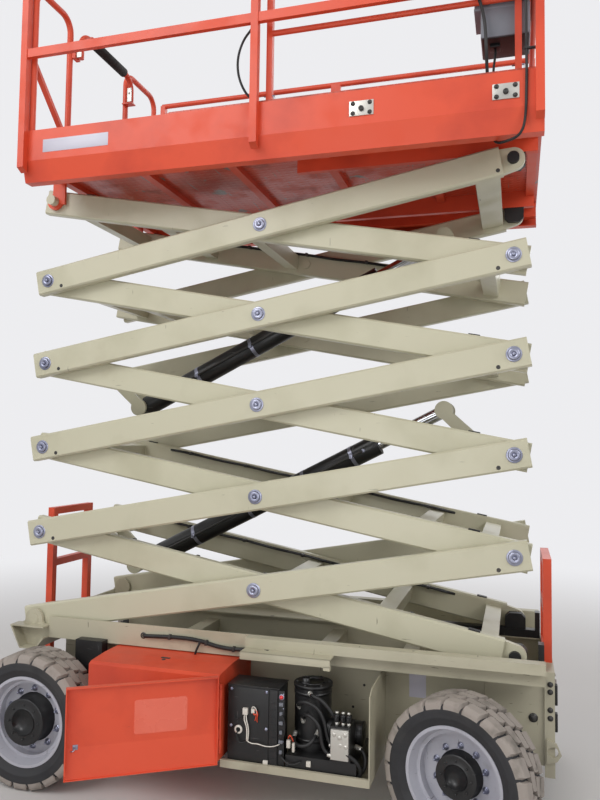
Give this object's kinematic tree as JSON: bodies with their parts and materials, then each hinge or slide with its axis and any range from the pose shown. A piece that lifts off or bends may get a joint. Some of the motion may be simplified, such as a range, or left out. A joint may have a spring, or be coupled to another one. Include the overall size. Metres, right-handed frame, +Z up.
{
  "type": "scissor lift",
  "caption": "Self-propelled scissor lift with crossed arm stages, a railed platform with roll-out deck, steered wheels and an open component bay door.",
  "frame": {"origin": "on the ground under the middle of the machine's width, between the axles", "axes": "+X forward towards the steered wheels, +Y away from the side whose door is open, +Z up"},
  "size_m": [3.1766, 2.2864, 4.5906],
  "materials": {
    "cream_paint": "satin",
    "orange_paint": "satin",
    "black_paint": "satin",
    "rim_paint": "satin",
    "tyre": "matte",
    "dark_steel": "satin",
    "zinc": "brushed",
    "grey_plastic": "matte"
  },
  "bodies": {
    "chassis": {"side_rails": "cream_paint", "rail_webs": "cream_paint", "cross_members": "cream_paint", "front_beam": "cream_paint", "rear_beam": "cream_paint", "slide_tracks": "black_paint", "track_stops": "black_paint", "front_axle": "dark_steel", "rear_axle": "dark_steel", "battery_pack": "black_paint", "rear_covers": "orange_paint", "component_trays": "cream_paint", "control_module": "black_paint", "hydraulic_unit": "zinc", "charger": "black_paint", "ladder_rear": "orange_paint", "ladder_front": "orange_paint"},
    "door_near": {"door_near": "orange_paint"},
    "door_far": {"door_far": "orange_paint"},
    "knuckle_near": {"knuckle_near": "dark_steel"},
    "knuckle_far": {"knuckle_far": "dark_steel"},
    "slide_bottom": {"slide_blocks_bottom": "grey_plastic"},
    "slide_top": {"slide_blocks_top": "grey_plastic"},
    "cylinder_lower_barrel": {"cylinder_lower_barrel": "black_paint"},
    "cylinder_lower_rod": {"cylinder_lower_rod": "zinc"},
    "cylinder_upper_barrel": {"cylinder_upper_barrel": "black_paint"},
    "cylinder_upper_rod": {"cylinder_upper_rod": "zinc"},
    "platform": {"platform_frame": "orange_paint", "platform_deck": "orange_paint", "side_panels": "orange_paint", "guard_rails": "orange_paint", "entry_rails": "orange_paint"},
    "entry_bar": {"entry_bar": "orange_paint"},
    "roll_out_deck": {"slide_deck": "orange_paint", "slide_rails": "orange_paint", "control_box": "grey_plastic"},
    "wheel_rear_near": {"tyre_rear_near": "tyre", "rim_rear_near": "rim_paint"},
    "wheel_rear_far": {"tyre_rear_far": "tyre", "rim_rear_far": "rim_paint"},
    "wheel_front_near": {"tyre_front_near": "tyre", "rim_front_near": "rim_paint"},
    "wheel_front_far": {"tyre_front_far": "tyre", "rim_front_far": "rim_paint"},
    "outer_1": {"outer_arms_1": "cream_paint"},
    "inner_1": {"inner_arms_1": "cream_paint", "inner_cross_1": "cream_paint"},
    "outer_2": {"outer_arms_2": "cream_paint"},
    "inner_2": {"inner_arms_2": "cream_paint", "inner_cross_2": "cream_paint"},
    "outer_3": {"outer_arms_3": "cream_paint"},
    "inner_3": {"inner_arms_3": "cream_paint", "inner_cross_3": "cream_paint"},
    "outer_4": {"outer_arms_4": "cream_paint"},
    "inner_4": {"inner_arms_4": "cream_paint", "inner_cross_4": "cream_paint"},
    "outer_5": {"outer_arms_5": "cream_paint"},
    "inner_5": {"inner_arms_5": "cream_paint", "inner_cross_5": "cream_paint"}
  },
  "joints": [
    {"name": "lift", "type": "hinge", "parent": "chassis", "child": "outer_1", "pos_m": [-1.309, 0, 0.837], "axis": [0, -1, 0], "range_deg": [-6.8, 43]},
    {"name": "inner_1_pivot", "type": "hinge", "parent": "outer_1", "child": "inner_1", "pos_m": [0.05428, 0, 1.08967], "axis": [0, -1, 0], "range_deg": [-86, 13.6]},
    {"name": "outer_2_pivot", "type": "hinge", "parent": "inner_1", "child": "outer_2", "pos_m": [-1.309, 0, 1.34234], "axis": [0, -1, 0], "range_deg": [-13.6, 86]},
    {"name": "inner_2_pivot", "type": "hinge", "parent": "outer_2", "child": "inner_2", "pos_m": [0.05428, 0, 1.59501], "axis": [0, -1, 0], "range_deg": [-86, 13.6]},
    {"name": "outer_3_pivot", "type": "hinge", "parent": "inner_2", "child": "outer_3", "pos_m": [-1.309, 0, 1.84768], "axis": [0, -1, 0], "range_deg": [-13.6, 86]},
    {"name": "inner_3_pivot", "type": "hinge", "parent": "outer_3", "child": "inner_3", "pos_m": [0.05428, 0, 2.10035], "axis": [0, -1, 0], "range_deg": [-86, 13.6]},
    {"name": "outer_4_pivot", "type": "hinge", "parent": "inner_3", "child": "outer_4", "pos_m": [-1.309, 0, 2.35302], "axis": [0, -1, 0], "range_deg": [-13.6, 86]},
    {"name": "inner_4_pivot", "type": "hinge", "parent": "outer_4", "child": "inner_4", "pos_m": [0.05428, 0, 2.60569], "axis": [0, -1, 0], "range_deg": [-86, 13.6]},
    {"name": "outer_5_pivot", "type": "hinge", "parent": "inner_4", "child": "outer_5", "pos_m": [-1.309, 0, 2.85836], "axis": [0, -1, 0], "range_deg": [-13.6, 86]},
    {"name": "inner_5_pivot", "type": "hinge", "parent": "outer_5", "child": "inner_5", "pos_m": [0.05428, 0, 3.11103], "axis": [0, -1, 0], "range_deg": [-86, 13.6]},
    {"name": "platform_pivot", "type": "hinge", "parent": "inner_5", "child": "platform", "pos_m": [-1.309, 0, 3.3637], "axis": [0, -1, 0], "range_deg": [-6.8, 43]},
    {"name": "slide_bottom_pivot", "type": "hinge", "parent": "inner_1", "child": "slide_bottom", "pos_m": [1.41757, 0, 0.837], "axis": [0, -1, 0], "range_deg": [-6.8, 43]},
    {"name": "slide_top_pivot", "type": "hinge", "parent": "outer_5", "child": "slide_top", "pos_m": [1.41757, 0, 3.3637], "axis": [0, -1, 0], "range_deg": [-43, 6.8]},
    {"name": "cylinder_lower_pivot", "type": "hinge", "parent": "inner_1", "child": "cylinder_lower_barrel", "pos_m": [-0.92062, 0, 1.09746], "axis": [0, -1, 0], "range_deg": [-13.33, 84.28]},
    {"name": "cylinder_lower_stroke", "type": "slide", "parent": "cylinder_lower_barrel", "child": "cylinder_lower_rod", "axis": [0.8907, 0, 0.4546], "range_m": [-0.19464, 1.23081]},
    {"name": "cylinder_upper_pivot", "type": "hinge", "parent": "inner_5", "child": "cylinder_upper_rod", "pos_m": [1.02919, 0, 3.10323], "axis": [0, -1, 0], "range_deg": [-13.33, 84.28]},
    {"name": "cylinder_upper_stroke", "type": "slide", "parent": "cylinder_upper_rod", "child": "cylinder_upper_barrel", "axis": [-0.8907, 0, -0.4546], "range_m": [-0.19464, 1.23081]},
    {"name": "deck_roll_out", "type": "slide", "parent": "platform", "child": "roll_out_deck", "axis": [1, 0, 0], "range_m": [0, 0.91]},
    {"name": "entry_bar_lift", "type": "hinge", "parent": "platform", "child": "entry_bar", "pos_m": [-1.2, -0.43, 4.3107], "axis": [1, 0, 0], "range_deg": [0, 95]},
    {"name": "door_near_swing", "type": "hinge", "parent": "chassis", "child": "door_near", "pos_m": [0.0025, -0.855, 0.5], "axis": [0, 0, -1], "range_deg": [-147, 3]},
    {"name": "door_far_swing", "type": "hinge", "parent": "chassis", "child": "door_far", "pos_m": [0.0025, 0.855, 0.5], "axis": [0, 0, 1], "range_deg": [0, 150]},
    {"name": "steer_near", "type": "hinge", "parent": "chassis", "child": "knuckle_near", "pos_m": [1.239, -0.575, 0.36], "axis": [0, 0, 1], "range_deg": [-14.5, 55.5]},
    {"name": "steer_far", "type": "hinge", "parent": "chassis", "child": "knuckle_far", "pos_m": [1.239, 0.575, 0.36], "axis": [0, 0, 1], "range_deg": [-14.5, 55.5]},
    {"name": "spin_rear_near", "type": "hinge", "parent": "chassis", "child": "wheel_rear_near", "pos_m": [-1.143, -0.755, 0.36], "axis": [0, 1, 0], "continuous": true},
    {"name": "spin_front_near", "type": "hinge", "parent": "knuckle_near", "child": "wheel_front_near", "pos_m": [1.17596, -0.7436, 0.36], "axis": [0.3502, 0.9367, 0], "continuous": true},
    {"name": "spin_rear_far", "type": "hinge", "parent": "chassis", "child": "wheel_rear_far", "pos_m": [-1.143, 0.755, 0.36], "axis": [0, 1, 0], "continuous": true},
    {"name": "spin_front_far", "type": "hinge", "parent": "knuckle_far", "child": "wheel_front_far", "pos_m": [1.30204, 0.7436, 0.36], "axis": [0.3502, 0.9367, 0], "continuous": true}
  ],
  "couplings": [
    {"joint": "inner_1_pivot", "follows": "lift", "ratio": -2},
    {"joint": "outer_2_pivot", "follows": "lift", "ratio": 2},
    {"joint": "inner_2_pivot", "follows": "lift", "ratio": -2},
    {"joint": "outer_3_pivot", "follows": "lift", "ratio": 2},
    {"joint": "inner_3_pivot", "follows": "lift", "ratio": -2},
    {"joint": "outer_4_pivot", "follows": "lift", "ratio": 2},
    {"joint": "inner_4_pivot", "follows": "lift", "ratio": -2},
    {"joint": "outer_5_pivot", "follows": "lift", "ratio": 2},
    {"joint": "inner_5_pivot", "follows": "lift", "ratio": -2},
    {"joint": "platform_pivot", "follows": "lift", "ratio": 1},
    {"joint": "slide_bottom_pivot", "follows": "lift", "ratio": 1},
    {"joint": "slide_top_pivot", "follows": "lift", "ratio": -1},
    {"joint": "cylinder_lower_pivot", "follows": "lift", "ratio": 1.96},
    {"joint": "cylinder_lower_stroke", "follows": "lift", "m_per_rad": 1.64},
    {"joint": "cylinder_upper_pivot", "follows": "lift", "ratio": 1.96},
    {"joint": "cylinder_upper_stroke", "follows": "lift", "m_per_rad": 1.64},
    {"joint": "steer_far", "follows": "steer_near", "ratio": 1}
  ]
}
